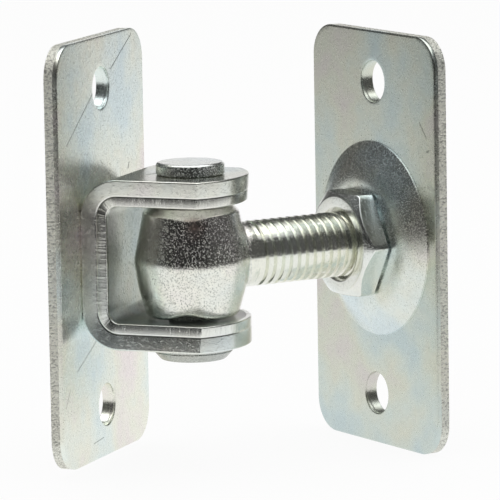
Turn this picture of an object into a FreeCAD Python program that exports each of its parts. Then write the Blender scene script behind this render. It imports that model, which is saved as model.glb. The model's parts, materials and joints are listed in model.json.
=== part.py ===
import FreeCAD, Part
import os
import Sketcher

# Adjustable gate hinge in zinc-plated steel, in millimetres.
# A flat post plate carries a welded U bracket with a riveted pin. A forged eye bolt swings on the pin,
# and a pressed gate plate is clamped on its thread between a lock nut and a rear nut.
# The origin is the centre of the post plate's back face, +X points out of it and +Z runs along the pin.

# Driving dimensions: name, value, what it measures
SIZES = [
    ("plate_height", 90, "both plates, along the pin"),
    ("plate_width", 48, "both plates, across the pin"),
    ("plate_thick", 3, "sheet of both plates"),
    ("plate_corner", 7, "radius of the plates' corners, seen from the front"),
    ("plate_edge", 0.4, "bevel of the rolled-over front edge that blanking leaves"),
    ("screw_hole", 9, "diameter of the screw holes"),
    ("screw_spacing", 68, "between a plate's two screw holes"),
    ("strap_thick", 5.7, "flat bar of the U bracket"),
    ("strap_width", 26, "flat bar of the U bracket"),
    ("strap_bend", 2.5, "inside radius of the bracket's bends"),
    ("ear_gap", 24.8, "between the bracket's two ears"),
    ("bracket_drop", 1.9, "from the post plate's middle down to the bracket's"),
    ("ear_reach", 12, "from the pin's axis to the tip of an ear"),
    ("ear_end", 18, "radius of the arc that ends an ear"),
    ("pin_standoff", 20, "from the post plate's front to the pin's axis"),
    ("pin_dia", 10, "shank of the hinge pin"),
    ("pin_seat", 0.03, "radial clearance of the pin in the ears"),
    ("pin_running", 0.06, "radial clearance of the eye on the pin"),
    ("head_dia", 14.5, "upper pin head"),
    ("head_height", 2.7, "upper pin head"),
    ("head_bevel", 0.5, "rim of the upper pin head"),
    ("collar_dia", 17.6, "lip of the riveted lower end"),
    ("collar_height", 1.1, "lip of the riveted lower end"),
    ("rivet_step", 0.4, "how far the rivet head stands back from its lip"),
    ("rivet_tip", 13.8, "flat end of the rivet head, diameter"),
    ("rivet_height", 1.9, "rivet head below its lip"),
    ("rivet_bevel", 0.5, "rim of the rivet head"),
    ("eye_dia", 24.4, "barrel of the eye at its middle"),
    ("eye_height", 23.6, "barrel of the eye, along the pin"),
    ("eye_land", 7, "height of the straight middle of the barrel"),
    ("eye_shoulder", 20.4, "diameter where the tapered barrel turns in to its end faces"),
    ("eye_face", 17.6, "flat end faces of the eye, diameter"),
    ("eye_turn", 1.6, "height of the turn-in at each end of the barrel"),
    ("eye_rest_gap", 0.5, "from the lower ear to the eye"),
    ("neck_flare", 0.8, "how much wider the neck is inside the eye, on the radius"),
    ("neck_length", 2.2, "taper of the neck each way from the barrel's widest line"),
    ("thread_dia", 14, "outside of the bolt's thread"),
    ("bolt_chamfer", 1.2, "end of the bolt"),
    ("swing_angle", 52, "between the post plate's normal and the bolt, in degrees"),
    ("gate_reach", 46, "from the pin's axis to the gate plate's front"),
    ("nut_flats", 22, "across the flats of both nuts"),
    ("nut_thick", 5.6, "lock nut along the bolt"),
    ("nut_face", 20.6, "round front face of the lock nut, diameter"),
    ("nut_slope", 38, "slope of the lock nut's chamfer, in degrees"),
    ("nut_running", 0.05, "radial clearance of the nuts on the thread"),
    ("nut_sink", 1.1, "countersink at the mouths of the nuts' bores"),
    ("nut_recess", 0.2, "from the gate plate's back down to the rear nut"),
    ("dome_height", 4, "pressed dome above the gate plate's front"),
    ("dome_slope", 32, "flank of the dome, in degrees"),
    ("dome_bend", 2, "inside radius of the dome's shoulder"),
    ("dome_foot", 0.6, "bevel in the corner at the dome's foot"),
    ("seat_margin", 0.5, "flat of the dome beyond the nut's corners"),
    ("bolt_clearance", 0.6, "radial clearance of the bolt in the gate plate"),
    ("plate_lift", 0.5, "how far the gate plate is clamped above the bolt's axis"),
    ("tool_over", 2, "how far a cutting outline runs past the metal"),
]

doc = FreeCAD.newDocument("gate_hinge")
sheet = doc.addObject("Spreadsheet::Sheet", "dims")
for row, (alias, value, meaning) in enumerate(SIZES, 1):
    sheet.set(f"A{row}", meaning)
    sheet.set(f"B{row}", str(value))
    sheet.setAlias(f"B{row}", alias)
doc.recompute()

# Places and sizes that several pieces share, as formulas of the driving dimensions
PIN_X = "(dims.plate_thick + dims.pin_standoff)"
EAR_INNER = "(dims.ear_gap / 2)"
EAR_OUTER = "(dims.ear_gap / 2 + dims.strap_thick)"
BOLT_LEVEL = "(dims.eye_rest_gap + dims.eye_height / 2 - dims.ear_gap / 2 - dims.bracket_drop)"
NUT_CORNER = "(dims.nut_flats / sqrt(3))"
HALF_SLOPE = "tan(dims.dome_slope / 2)"
SEAT_RADIUS = f"({NUT_CORNER} + dims.seat_margin)"
WALL_SHIFT = f"(dims.plate_thick * {HALF_SLOPE})"
SHOULDER_OUT = f"({SEAT_RADIUS} + dims.dome_bend * {HALF_SLOPE} + {WALL_SHIFT})"
SHOULDER_IN = f"({SHOULDER_OUT} - {WALL_SHIFT})"
FOOT_OUT = f"({SHOULDER_OUT} + dims.dome_height / tan(dims.dome_slope))"
FOOT_IN = f"({FOOT_OUT} - {WALL_SHIFT})"
NUT_BORE = "(dims.thread_dia / 2 + dims.nut_running)"

# Two places closer than this are taken as one
SAME_PLACE = 1e-4


def size(formula):
    return float(sheet.evalExpression(str(formula)))


def new_body(label):
    body = doc.addObject("PartDesign::Body", label)
    body.Label = label
    return body


def sketch_on(body, role, name):
    plane = [feature for feature in body.Origin.OriginFeatures if feature.Role == role][0]
    sketch = body.newObject("Sketcher::SketchObject", name)
    sketch.AttachmentSupport = [(plane, "")]
    sketch.MapMode = "FlatFace"
    return sketch


def constrain(sketch, formula, kind, *where):
    index = sketch.addConstraint(Sketcher.Constraint(kind, *where, size(formula)))
    sketch.setExpression(f"Constraints[{index}]", formula)


def place_point(sketch, geometry, point, across, up):
    # a point on an axis is tied to that axis, any other by its distance from the origin
    for formula, kind, axis in ((across, "DistanceX", -2), (up, "DistanceY", -1)):
        if formula == 0:
            sketch.addConstraint(Sketcher.Constraint("PointOnObject", geometry, point, axis))
        else:
            constrain(sketch, formula, kind, -1, 1, geometry, point)


def add_circle(sketch, across, up, radius):
    centre = FreeCAD.Vector(size(across), size(up), 0)
    circle = sketch.addGeometry(Part.Circle(centre, FreeCAD.Vector(0, 0, 1), size(radius)))
    if across == 0 and up == 0:
        sketch.addConstraint(Sketcher.Constraint("Coincident", circle, 3, -1, 1))
    else:
        place_point(sketch, circle, 3, across, up)
    constrain(sketch, radius, "Radius", circle)


def bulged(start, end, radius):
    # the arc from start to end that bulges to the right of that direction
    chord = end - start
    out = FreeCAD.Vector(chord.y, -chord.x, 0).normalize()
    rise = radius - (radius**2 - (chord.Length / 2) ** 2) ** 0.5
    return Part.Arc(start, (start + end) / 2 + out * rise, end)


def add_outline(sketch, corners):
    # each corner gives its place and, where an arc leads on to the next corner, the arc's radius
    spots = [FreeCAD.Vector(size(corner[0]), size(corner[1]), 0) for corner in corners]
    sides = []
    for index, corner in enumerate(corners):
        start, end = spots[index], spots[(index + 1) % len(spots)]
        if len(corner) == 3:
            side = sketch.addGeometry(bulged(start, end, size(corner[2])))
        else:
            side = sketch.addGeometry(Part.LineSegment(start, end))
        near, far = (sketch.getPoint(side, point).distanceToPoint(start) for point in (1, 2))
        sides.append((side, 1, 2) if near < far else (side, 2, 1))
    for index, corner in enumerate(corners):
        side, first, last = sides[index]
        next_side, next_first = sides[(index + 1) % len(sides)][:2]
        sketch.addConstraint(Sketcher.Constraint("Coincident", side, last, next_side, next_first))
        place_point(sketch, side, first, corner[0], corner[1])
        if len(corner) == 3:
            constrain(sketch, corner[2], "Radius", side)


def add_rectangle(sketch, width, height):
    left, right = f"-{width} / 2", f"{width} / 2"
    low, high = f"-{height} / 2", f"{height} / 2"
    add_outline(sketch, [(left, low), (right, low), (right, high), (left, high)])


def extrude(body, kind, sketch, name, length=None, both_ways=False):
    # a pad of the given length, or a pocket through everything
    feature = body.newObject(kind, name)
    feature.Profile = sketch
    if length is None:
        feature.Type = "ThroughAll"
    else:
        feature.setExpression("Length", length)
    feature.SideType = "Symmetric" if both_ways else "One side"
    doc.recompute()
    return feature


def revolve(body, kind, sketch, name, axis):
    feature = body.newObject(kind, name)
    feature.Profile = sketch
    feature.ReferenceAxis = (sketch, [axis])
    feature.Angle = 360
    doc.recompute()
    return feature


def dress(body, kind, base, name, wanted, property_name, formula):
    # rounds or bevels the edges of the last feature that pass a test
    names = [f"Edge{index}" for index, edge in enumerate(base.Shape.Edges, 1) if wanted(edge)]
    feature = body.newObject(kind, name)
    feature.Base = (base, names)
    feature.setExpression(property_name, formula)
    doc.recompute()
    return feature


def fillet(body, base, name, wanted, radius):
    return dress(body, "PartDesign::Fillet", base, name, wanted, "Radius", radius)


def chamfer(body, base, name, wanted, width):
    return dress(body, "PartDesign::Chamfer", base, name, wanted, "Size", width)


def runs_along(edge, axis):
    box = edge.BoundBox
    lengths = {"x": box.XLength, "y": box.YLength, "z": box.ZLength}
    return all(length < SAME_PLACE for name, length in lengths.items() if name != axis)


def lies_at(edge, **place):
    # true where the whole edge has these coordinates
    box = edge.BoundBox
    spans = {"x": (box.XMin, box.XMax), "y": (box.YMin, box.YMax), "z": (box.ZMin, box.ZMax)}
    return all(abs(end - at) < SAME_PLACE for name, at in place.items() for end in spans[name])


def is_ring(edge, radius, x):
    # a whole circle about the bolt's axis
    if not isinstance(edge.Curve, Part.Circle):
        return False
    return abs(edge.Curve.Radius - radius) < SAME_PLACE and lies_at(edge, x=x)


def set_on_bolt(body, reach, lift="0"):
    # the bolt and what it carries lie along a line through the pin, turned by the swing angle
    body.setExpression("Placement.Base.x", f"{PIN_X} + cos(dims.swing_angle) * ({reach})")
    body.setExpression("Placement.Base.y", f"sin(dims.swing_angle) * ({reach})")
    body.setExpression("Placement.Base.z", f"{BOLT_LEVEL} + {lift}")
    body.setExpression("Placement.Rotation.Angle", "dims.swing_angle")


def blank_plate(body):
    # a blanked sheet: rounded corners and two screw holes, with its thickness along +X
    outline = sketch_on(body, "YZ_Plane", "plate_outline")
    add_rectangle(outline, "dims.plate_width", "dims.plate_height")
    for half in ("dims.screw_spacing / 2", "-dims.screw_spacing / 2"):
        add_circle(outline, 0, half, "dims.screw_hole / 2")
    blank = extrude(body, "PartDesign::Pad", outline, "blank", "dims.plate_thick")
    half_width = size("dims.plate_width / 2")

    def at_corner(edge):
        return runs_along(edge, "x") and any(lies_at(edge, y=side) for side in (-half_width, half_width))

    return fillet(body, blank, "plate_corners", at_corner, "dims.plate_corner")


def roll_edge(body, base, front):
    # blanking rolls over the rim of the front face, whose edges are open where the holes' are closed
    def on_rim(edge):
        return lies_at(edge, x=front) and not edge.isClosed()

    chamfer(body, base, "rolled_edge", on_rim, "dims.plate_edge")


# Post plate
post_plate = new_body("post_plate")
post_blank = blank_plate(post_plate)
roll_edge(post_plate, post_blank, size("dims.plate_thick"))

# U bracket: flat bar bent twice, its ends cut to an arc and drilled for the pin
u_bracket = new_body("u_bracket")
EAR_TIP = "(dims.pin_standoff + dims.ear_reach)"
EAR_SAG = "(dims.ear_end - sqrt(dims.ear_end^2 - (dims.strap_width / 2)^2))"
bar_side = sketch_on(u_bracket, "XZ_Plane", "bar_side")
add_outline(
    bar_side,
    [
        (0, f"-{EAR_OUTER}"),
        (EAR_TIP, f"-{EAR_OUTER}"),
        (EAR_TIP, f"-{EAR_INNER}"),
        ("dims.strap_thick", f"-{EAR_INNER}"),
        ("dims.strap_thick", EAR_INNER),
        (EAR_TIP, EAR_INNER),
        (EAR_TIP, EAR_OUTER),
        (0, EAR_OUTER),
    ],
)
bar = extrude(u_bracket, "PartDesign::Pad", bar_side, "bar", "dims.strap_width", both_ways=True)


def at_outer_bend(edge):
    return runs_along(edge, "y") and lies_at(edge, x=0)


def at_inner_bend(edge):
    levels = (-size(EAR_INNER), size(EAR_INNER))
    corner_x = size("dims.strap_thick")
    return runs_along(edge, "y") and any(lies_at(edge, x=corner_x, z=level) for level in levels)


outer_bends = fillet(u_bracket, bar, "outer_bends", at_outer_bend, "dims.strap_bend + dims.strap_thick")
fillet(u_bracket, outer_bends, "inner_bends", at_inner_bend, "dims.strap_bend")
ear_ends = sketch_on(u_bracket, "XY_Plane", "ear_ends")
EAR_CORNER = f"({EAR_TIP} - {EAR_SAG})"
PAST_TIP = f"({EAR_TIP} + dims.tool_over)"
PAST_SIDE = "(dims.strap_width / 2 + dims.tool_over)"
add_outline(
    ear_ends,
    [
        (EAR_CORNER, "-dims.strap_width / 2", "dims.ear_end"),
        (EAR_CORNER, "dims.strap_width / 2"),
        (EAR_CORNER, PAST_SIDE),
        (PAST_TIP, PAST_SIDE),
        (PAST_TIP, f"-{PAST_SIDE}"),
        (EAR_CORNER, f"-{PAST_SIDE}"),
    ],
)
extrude(u_bracket, "PartDesign::Pocket", ear_ends, "ear_arcs", both_ways=True)
pin_holes = sketch_on(u_bracket, "XY_Plane", "pin_holes")
add_circle(pin_holes, "dims.pin_standoff", 0, "dims.pin_dia / 2 + dims.pin_seat")
extrude(u_bracket, "PartDesign::Pocket", pin_holes, "drilled_ears", both_ways=True)
u_bracket.setExpression("Placement.Base.x", "dims.plate_thick")
u_bracket.setExpression("Placement.Base.z", "-dims.bracket_drop")

# Hinge pin: turned head above, peened over into a stepped rivet head below
hinge_pin = new_body("hinge_pin")
pin_half = sketch_on(hinge_pin, "XZ_Plane", "pin_half")
HEAD_TOP = f"({EAR_OUTER} + dims.head_height)"
LIP_LOW = f"(-{EAR_OUTER} - dims.collar_height)"
TIP_LOW = f"({LIP_LOW} - dims.rivet_height)"
add_outline(
    pin_half,
    [
        (0, TIP_LOW),
        ("dims.rivet_tip / 2", TIP_LOW),
        ("dims.collar_dia / 2 - dims.rivet_step", LIP_LOW),
        ("dims.collar_dia / 2", LIP_LOW),
        ("dims.collar_dia / 2", f"-{EAR_OUTER}"),
        ("dims.pin_dia / 2", f"-{EAR_OUTER}"),
        ("dims.pin_dia / 2", EAR_OUTER),
        ("dims.head_dia / 2", EAR_OUTER),
        ("dims.head_dia / 2", HEAD_TOP),
        (0, HEAD_TOP),
    ],
)
turned_pin = revolve(hinge_pin, "PartDesign::Revolution", pin_half, "turned_pin", "V_Axis")


def at_head_rim(edge):
    return lies_at(edge, z=size(HEAD_TOP))


def at_rivet_rim(edge):
    return lies_at(edge, z=size(TIP_LOW))


head_rim = chamfer(hinge_pin, turned_pin, "head_rim", at_head_rim, "dims.head_bevel")
chamfer(hinge_pin, head_rim, "rivet_rim", at_rivet_rim, "dims.rivet_bevel")
hinge_pin.setExpression("Placement.Base.x", PIN_X)
hinge_pin.setExpression("Placement.Base.z", "-dims.bracket_drop")

# Eye bolt: forged barrel eye with its shank along +X, bored for the pin
eye_bolt = new_body("eye_bolt")
EYE_HALF = "(dims.eye_height / 2)"
TURN_LEVEL = f"({EYE_HALF} - dims.eye_turn)"
BOLT_END = "(dims.gate_reach + dims.plate_thick - dims.nut_recess)"
eye_half = sketch_on(eye_bolt, "XZ_Plane", "eye_half")
add_outline(
    eye_half,
    [
        (0, f"-{EYE_HALF}"),
        ("dims.eye_face / 2", f"-{EYE_HALF}"),
        ("dims.eye_shoulder / 2", f"-{TURN_LEVEL}"),
        ("dims.eye_dia / 2", "-dims.eye_land / 2"),
        ("dims.eye_dia / 2", "dims.eye_land / 2"),
        ("dims.eye_shoulder / 2", TURN_LEVEL),
        ("dims.eye_face / 2", EYE_HALF),
        (0, EYE_HALF),
    ],
)
revolve(eye_bolt, "PartDesign::Revolution", eye_half, "barrel", "V_Axis")
shank_half = sketch_on(eye_bolt, "XY_Plane", "shank_half")
THREAD_RADIUS = "(dims.thread_dia / 2)"
add_outline(
    shank_half,
    [
        (0, 0),
        (BOLT_END, 0),
        (BOLT_END, f"{THREAD_RADIUS} - dims.bolt_chamfer"),
        (f"{BOLT_END} - dims.bolt_chamfer", THREAD_RADIUS),
        ("dims.eye_dia / 2 + dims.neck_length", THREAD_RADIUS),
        ("dims.eye_dia / 2 - dims.neck_length", f"{THREAD_RADIUS} + dims.neck_flare"),
        (0, f"{THREAD_RADIUS} + dims.neck_flare"),
    ],
)
revolve(eye_bolt, "PartDesign::Revolution", shank_half, "shank", "H_Axis")
pin_bore = sketch_on(eye_bolt, "XY_Plane", "pin_bore")
add_circle(pin_bore, 0, 0, "dims.pin_dia / 2 + dims.pin_running")
extrude(eye_bolt, "PartDesign::Pocket", pin_bore, "bored_eye", both_ways=True)
set_on_bolt(eye_bolt, "0")


def hex_blank(body, thick):
    # a hexagon with one corner pointing sideways, its back at x = 0 and its front towards the pin
    hexagon = sketch_on(body, "YZ_Plane", "hexagon")
    half_flat = "dims.nut_flats / 2"
    half_side = f"{NUT_CORNER} / 2"
    add_outline(
        hexagon,
        [
            (NUT_CORNER, 0),
            (half_side, half_flat),
            (f"-{half_side}", half_flat),
            (f"-{NUT_CORNER}", 0),
            (f"-{half_side}", f"-{half_flat}"),
            (half_side, f"-{half_flat}"),
        ],
    )
    blank = body.newObject("PartDesign::Pad", "hex_blank")
    blank.Profile = hexagon
    blank.setExpression("Length", thick)
    blank.Reversed = True
    doc.recompute()


def tapped(body, front):
    # the thread's bore, with a countersink at both mouths
    bore = sketch_on(body, "YZ_Plane", "bore")
    add_circle(bore, 0, 0, NUT_BORE)
    through = extrude(body, "PartDesign::Pocket", bore, "through_bore", both_ways=True)

    def at_mouth(edge):
        return any(is_ring(edge, size(NUT_BORE), x) for x in (0, size(front)))

    chamfer(body, through, "mouths", at_mouth, "dims.nut_sink")


# Lock nut: thin hexagon nut, its front turned to a round face, seated on the dome
lock_nut = new_body("lock_nut")
hex_blank(lock_nut, "dims.nut_thick")
corner_cut = sketch_on(lock_nut, "XY_Plane", "corner_cut")
PAST_CORNER = f"({NUT_CORNER} + dims.tool_over)"
CUT_BACK = f"(({PAST_CORNER} - dims.nut_face / 2) * tan(dims.nut_slope) - dims.nut_thick)"
add_outline(
    corner_cut,
    [
        ("-dims.nut_thick", "dims.nut_face / 2"),
        (CUT_BACK, PAST_CORNER),
        ("-dims.nut_thick", PAST_CORNER),
    ],
)
revolve(lock_nut, "PartDesign::Groove", corner_cut, "turned_corners", "H_Axis")
tapped(lock_nut, "-dims.nut_thick")
set_on_bolt(lock_nut, "dims.gate_reach - dims.dome_height")

# Gate plate: the same blank with a hollow dome pressed out towards the pin and pierced for the bolt
gate_plate = new_body("gate_plate")
gate_blank = blank_plate(gate_plate)
roll_edge(gate_plate, gate_blank, 0)
DOME_TOP = "(-dims.dome_height)"
HOLLOW_TOP = "(dims.plate_thick - dims.dome_height)"
dome_half = sketch_on(gate_plate, "XY_Plane", "dome_half")
MID_SHEET = "(dims.plate_thick / 2)"
add_outline(
    dome_half,
    [
        (MID_SHEET, 0),
        (MID_SHEET, FOOT_OUT),
        (0, FOOT_OUT),
        (DOME_TOP, SHOULDER_OUT),
        (DOME_TOP, 0),
    ],
)
revolve(gate_plate, "PartDesign::Revolution", dome_half, "dome", "H_Axis")
hollow_half = sketch_on(gate_plate, "XY_Plane", "hollow_half")
add_outline(
    hollow_half,
    [
        (HOLLOW_TOP, 0),
        (HOLLOW_TOP, SHOULDER_IN),
        ("dims.plate_thick", FOOT_IN),
        ("dims.plate_thick", 0),
    ],
)
bent_sheet = revolve(gate_plate, "PartDesign::Groove", hollow_half, "hollow", "H_Axis")
BENDS = [
    (fillet, "shoulder", SHOULDER_OUT, DOME_TOP, "dims.dome_bend + dims.plate_thick"),
    (chamfer, "inner_shoulder", SHOULDER_IN, HOLLOW_TOP, f"dims.dome_bend * {HALF_SLOPE}"),
    (chamfer, "foot", FOOT_OUT, 0, "dims.dome_foot"),
    (chamfer, "inner_foot", FOOT_IN, "dims.plate_thick", f"dims.dome_foot + {WALL_SHIFT}"),
]
for finish, bend, ring, level, reach in BENDS:
    at_bend = lambda edge: is_ring(edge, size(ring), size(level))
    bent_sheet = finish(gate_plate, bent_sheet, bend, at_bend, reach)
bolt_hole = sketch_on(gate_plate, "YZ_Plane", "bolt_hole")
add_circle(bolt_hole, 0, 0, "dims.thread_dia / 2 + dims.bolt_clearance")
extrude(gate_plate, "PartDesign::Pocket", bolt_hole, "pierced_dome", both_ways=True)
set_on_bolt(gate_plate, "dims.gate_reach", "dims.plate_lift")

# Rear nut: a thinner hexagon nut in the dome's hollow, just below the gate plate's back
rear_nut = new_body("rear_nut")
REAR_THICK = "(dims.dome_height - dims.nut_recess)"
hex_blank(rear_nut, REAR_THICK)
tapped(rear_nut, f"-{REAR_THICK}")
set_on_bolt(rear_nut, BOLT_END)

doc.recompute()
failed = [item.Name for item in doc.Objects if {"Invalid", "Error"} & set(item.State)]
pieces = [post_plate, u_bracket, hinge_pin, eye_bolt, lock_nut, gate_plate, rear_nut]
failed += [piece.Label for piece in pieces if piece.Shape.isNull() or not piece.Shape.isValid()]
if failed:
    raise RuntimeError(f"not built: {failed}")
os.makedirs("parts", exist_ok=True)
for piece in pieces:
    piece.Shape.exportStep(f"parts/{piece.Label}.step")
    print(piece.Label, f"{piece.Shape.Volume:.1f} mm3", piece.Shape.ShapeType, len(piece.Shape.Solids))
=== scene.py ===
import json
import math

import bmesh
import bpy
from mathutils import Matrix, Vector
from mathutils.geometry import delaunay_2d_cdt


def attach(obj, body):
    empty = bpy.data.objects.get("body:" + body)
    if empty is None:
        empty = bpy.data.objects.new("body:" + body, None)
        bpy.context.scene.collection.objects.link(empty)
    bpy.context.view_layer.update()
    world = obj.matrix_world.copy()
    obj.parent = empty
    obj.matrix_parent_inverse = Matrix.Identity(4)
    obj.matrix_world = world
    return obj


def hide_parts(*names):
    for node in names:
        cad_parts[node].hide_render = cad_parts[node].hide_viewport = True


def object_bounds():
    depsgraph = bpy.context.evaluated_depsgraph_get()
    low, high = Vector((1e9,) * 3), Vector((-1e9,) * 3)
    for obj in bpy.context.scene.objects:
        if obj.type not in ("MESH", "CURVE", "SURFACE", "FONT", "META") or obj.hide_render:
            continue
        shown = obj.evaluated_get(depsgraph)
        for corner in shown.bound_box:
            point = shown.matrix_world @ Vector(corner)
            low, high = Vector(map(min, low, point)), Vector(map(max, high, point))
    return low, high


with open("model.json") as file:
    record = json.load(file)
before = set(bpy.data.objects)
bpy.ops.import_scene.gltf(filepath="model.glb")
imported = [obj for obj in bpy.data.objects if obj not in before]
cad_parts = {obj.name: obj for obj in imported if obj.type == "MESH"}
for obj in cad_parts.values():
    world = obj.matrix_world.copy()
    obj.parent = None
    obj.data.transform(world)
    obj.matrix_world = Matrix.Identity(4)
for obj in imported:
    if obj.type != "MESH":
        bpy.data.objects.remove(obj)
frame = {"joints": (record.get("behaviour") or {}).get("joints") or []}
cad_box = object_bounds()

# The post plate is the leaf that is screwed to the gate post. It is steel sheet, blanked in a press with two
# screw holes: the front rim is rolled over by the punch, the lower part of the wall is torn, and the back rim is
# sharp. Like every other piece it is bright zinc plated after it is made, and it has been scored in handling.
MM = 0.001
PLATE_WIDTH, PLATE_HEIGHT, PLATE_THICK = 48 * MM, 90 * MM, 3 * MM
PLATE_CORNER = 7 * MM
POST_ROLL = 0.24 * MM
ROLL_REACH = 3
TEAR_FROM, TEAR_TO = 0.30, 0.34
TEAR_STEP = 0.05 * MM
BACK_EDGE = 0.12 * MM
SCREW_HOLE, SCREW_SPACING = 4.5 * MM, 68 * MM
HOLE_ROLL = 0.3 * MM
CORNER_STEPS, SIDE_STEPS, HOLE_STEPS, ROLL_STEPS = 18, 40, 96, 6
SHARP_ANGLE = math.radians(38)
FACE_WEIGHT = 80
MERGE_GAP = 1e-6
SHEET_SHINE, SHEET_GLOSS = (0.91, 0.93, 0.895), 0.27
WALL_SHINE, WALL_GLOSS = (0.96, 0.96, 0.88), 0.46
POST_SCORES = [
    ((3, 17.6, 43.8), (3, 5.6, 37.5), 0.22), ((3, -4.5, 33.4), (3, -19.4, 24.0), 0.22),
    ((3, -3.9, -18.8), (3, -16.2, -24.3), 0.20), ((3, -20.2, -27.5), (3, -22.6, -31.0), 0.18),
    ((3, -8.0, -41.2), (3, -2.3, -40.8), 0.14), ((3, 14.4, 15.2), (3, 15.0, 16.2), 0.30)]


def fillet_path(corners, steps=ROLL_STEPS):
    """Points along a bent line of (x, y, radius) corners, with an arc of that radius at each corner."""
    path = []
    for k, (x, y, radius) in enumerate(corners):
        here = Vector((x, y))
        if radius == 0 or k in (0, len(corners) - 1):
            path.append(here)
            continue
        before = (Vector(corners[k - 1][:2]) - here).normalized()
        after = (Vector(corners[k + 1][:2]) - here).normalized()
        half = before.angle(after) / 2
        centre = here + (before + after).normalized() * radius / math.sin(half)
        first = here + before * radius / math.tan(half) - centre
        last = here + after * radius / math.tan(half) - centre
        for step in range(steps + 1):
            path.append(centre + first.lerp(last, step / steps).normalized() * radius)
    return path


def blanked_rim(roll, thick):
    """(inset, depth) down a blanked wall: rolled front rim, smooth cut, torn step, sharp back rim."""
    reach = ROLL_REACH * roll
    return fillet_path([(reach, 0, 0), (0, 0, roll), (0, TEAR_FROM * thick, 0), (TEAR_STEP, TEAR_TO * thick, 0),
                        (TEAR_STEP, thick, BACK_EDGE), (reach, thick, 0)])


def rectangle_ring(inset, depth):
    """One ring of points round a plate's outline, inset from it."""
    across, up = PLATE_WIDTH / 2 - PLATE_CORNER, PLATE_HEIGHT / 2 - PLATE_CORNER
    arm = PLATE_CORNER - inset
    signs = ((1, 1), (-1, 1), (-1, -1), (1, -1))
    ring = []
    for quarter, (sx, sy) in enumerate(signs):
        for step in range(CORNER_STEPS + 1):
            turn = math.radians(90 * (quarter + step / CORNER_STEPS))
            ring.append(Vector((sx * across + arm * math.cos(turn), sy * up + arm * math.sin(turn), depth)))
        tx, ty = signs[(quarter + 1) % len(signs)]
        end = math.radians(90 * (quarter + 1))
        stop = Vector((tx * across + arm * math.cos(end), ty * up + arm * math.sin(end), depth))
        ring += [ring[-1].lerp(stop, step / SIDE_STEPS) for step in range(1, SIDE_STEPS)]
    return ring


def circle_ring(across, up, radius, depth):
    """One ring of points round a hole."""
    turns = [math.tau * step / HOLE_STEPS for step in range(HOLE_STEPS)]
    return [Vector((across + radius * math.cos(a), up + radius * math.sin(a), depth)) for a in turns]


def hole_rings(across, up, radius, thick):
    return [circle_ring(across, up, radius + inset, depth) for inset, depth in blanked_rim(HOLE_ROLL, thick)]


def finished_from(rings, depth, finish):
    """The finish of each strip of a loop: that one below a depth, and the face's above it."""
    return [finish if ring[0].z >= depth else 0 for ring in rings[:-1]]


def blanked_sheet(loops, place, spare=(), back_finish=0):
    """A closed sheet. Each loop is a stack of rings from the front face to the back, with its strips' finishes, and
    the first loop is the outline. place turns (across, up, depth) into a point; spare adds points to both faces."""
    points, faces, finishes = [], [], []
    fronts, backs = [], []
    for rings, strips in loops:
        starts = []
        for ring in rings:
            starts.append(len(points))
            points.extend(ring)
        count = len(rings[0])
        for upper, lower, strip in zip(starts, starts[1:], strips):
            for k in range(count):
                following = (k + 1) % count
                faces.append((upper + k, upper + following, lower + following, lower + k))
                finishes.append(strip)
        fronts.append(range(starts[0], starts[0] + count))
        backs.append(range(starts[-1], starts[-1] + count))
    for rims, finish in ((fronts, 0), (backs, back_finish)):
        depth = points[rims[0][0]].z
        rows = [k for rim in rims for k in rim]
        edges, first = [], 0
        for rim in rims:
            edges += [(first + k, first + (k + 1) % len(rim)) for k in range(len(rim))]
            first += len(rim)
        for across, up in spare:
            rows.append(len(points))
            points.append(Vector((across, up, depth)))
        flat = [Vector(points[k][:2]) / MM for k in rows]
        _, _, triangles, origin, _, _ = delaunay_2d_cdt(flat, edges, [], 1, MERGE_GAP)
        for triangle in triangles:
            loop = tuple(rows[origin[k][0]] for k in triangle)
            if not any(all(k in rim for k in loop) for rim in rims[1:]):
                faces.append(loop)
                finishes.append(finish)
    sheet = bmesh.new()
    flat_place = sheet.verts.layers.float_vector.new("flat")
    corners = []
    for point in points:
        corner = sheet.verts.new(place(point))
        corner[flat_place] = point / MM
        corners.append(corner)
    for loop, finish in zip(faces, finishes):
        sheet.faces.new([corners[k] for k in loop]).material_index = finish
    bmesh.ops.recalc_face_normals(sheet, faces=sheet.faces)
    return sheet


def finished(name, shape, finishes):
    """The object of a bmesh: smooth over its small roundings, flat on its faces, with its plated finishes."""
    mesh = bpy.data.meshes.new(name)
    shape.to_mesh(mesh)
    shape.free()
    mesh.shade_smooth()
    mesh.set_sharp_from_angle(angle=SHARP_ANGLE)
    piece = bpy.data.objects.new(name, mesh)
    bpy.context.collection.objects.link(piece)
    for finish in finishes:
        mesh.materials.append(finish)
    weigh = piece.modifiers.new("even_faces", "WEIGHTED_NORMAL")
    weigh.keep_sharp = True
    weigh.weight = FACE_WEIGHT
    seen = piece.evaluated_get(bpy.context.evaluated_depsgraph_get())
    piece.data = bpy.data.meshes.new_from_object(seen)
    piece.modifiers.remove(weigh)
    bpy.data.meshes.remove(mesh)
    piece.data.name = name
    return piece


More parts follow.
